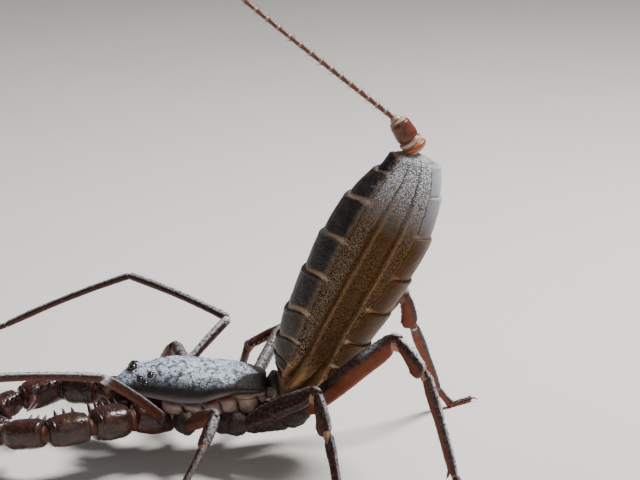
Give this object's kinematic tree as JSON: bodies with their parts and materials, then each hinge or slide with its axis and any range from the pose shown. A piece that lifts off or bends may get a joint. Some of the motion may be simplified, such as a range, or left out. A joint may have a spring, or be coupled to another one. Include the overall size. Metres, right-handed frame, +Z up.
{
  "type": "giant vinegaroon (whip scorpion), still life-size model",
  "caption": "Giant vinegaroon standing with its abdomen raised and bent forward and its whip tail held over the head, a still life-size display model.",
  "frame": {"origin": "middle of the animal's bounding rectangle on the floor, z = 0 under the feet", "axes": "+Z up, -X the way the head faces, -Y the animal's left side"},
  "size_m": [0.094, 0.0613, 0.0748],
  "materials": {
    "carapace": "finely granular dark cuticle with a satin sheen",
    "abdomen": "leathery grey-brown flank between near-black satin plates",
    "underbody": "dark red-brown cuticle with pale soft skin between the coxae",
    "pygidium": "red-brown rings with pale skin between them",
    "whip": "red-brown joints with pale ends",
    "pedipalp": "near-black cuticle, satin, granular",
    "leg": "dark red-brown cuticle, satin, finely wrinkled on top",
    "feeler_leg": "red-brown cuticle, satin",
    "eye": "glossy black"
  },
  "bodies": {
    "root": {"abdomen": "abdomen", "carapace": "carapace", "chelicera_left": "pedipalp", "chelicera_right": "pedipalp", "coxae_and_sternum": "underbody", "flagellum_base": "whip", "flagellum_middle": "whip", "flagellum_tip": "whip", "lateral_eyes_left": "eye", "lateral_eyes_right": "eye", "leg1_femur_left": "feeler_leg", "leg1_femur_right": "feeler_leg", "leg1_patella_left": "feeler_leg", "leg1_patella_right": "feeler_leg", "leg1_tarsus_left": "feeler_leg", "leg1_tarsus_right": "feeler_leg", "leg1_tibia_left": "feeler_leg", "leg1_tibia_right": "feeler_leg", "leg2_femur_left": "leg", "leg2_femur_right": "leg", "leg2_patella_left": "leg", "leg2_patella_right": "leg", "leg2_tarsus_left": "leg", "leg2_tarsus_right": "leg", "leg2_tibia_left": "leg", "leg2_tibia_right": "leg", "leg3_femur_left": "leg", "leg3_femur_right": "leg", "leg3_patella_left": "leg", "leg3_patella_right": "leg", "leg3_tarsus_left": "leg", "leg3_tarsus_right": "leg", "leg3_tibia_left": "leg", "leg3_tibia_right": "leg", "leg4_femur_left": "leg", "leg4_femur_right": "leg", "leg4_patella_left": "leg", "leg4_patella_right": "leg", "leg4_tarsus_left": "leg", "leg4_tarsus_right": "leg", "leg4_tibia_left": "leg", "leg4_tibia_right": "leg", "median_eye_left": "eye", "median_eye_right": "eye", "pedipalp_femur_left": "pedipalp", "pedipalp_femur_right": "pedipalp", "pedipalp_patella_left": "pedipalp", "pedipalp_patella_right": "pedipalp", "pedipalp_tarsus_left": "pedipalp", "pedipalp_tarsus_right": "pedipalp", "pedipalp_tibia_left": "pedipalp", "pedipalp_tibia_right": "pedipalp", "pedipalp_trochanter_left": "pedipalp", "pedipalp_trochanter_right": "pedipalp", "pygidium": "pygidium"}
  },
  "joints": []
}
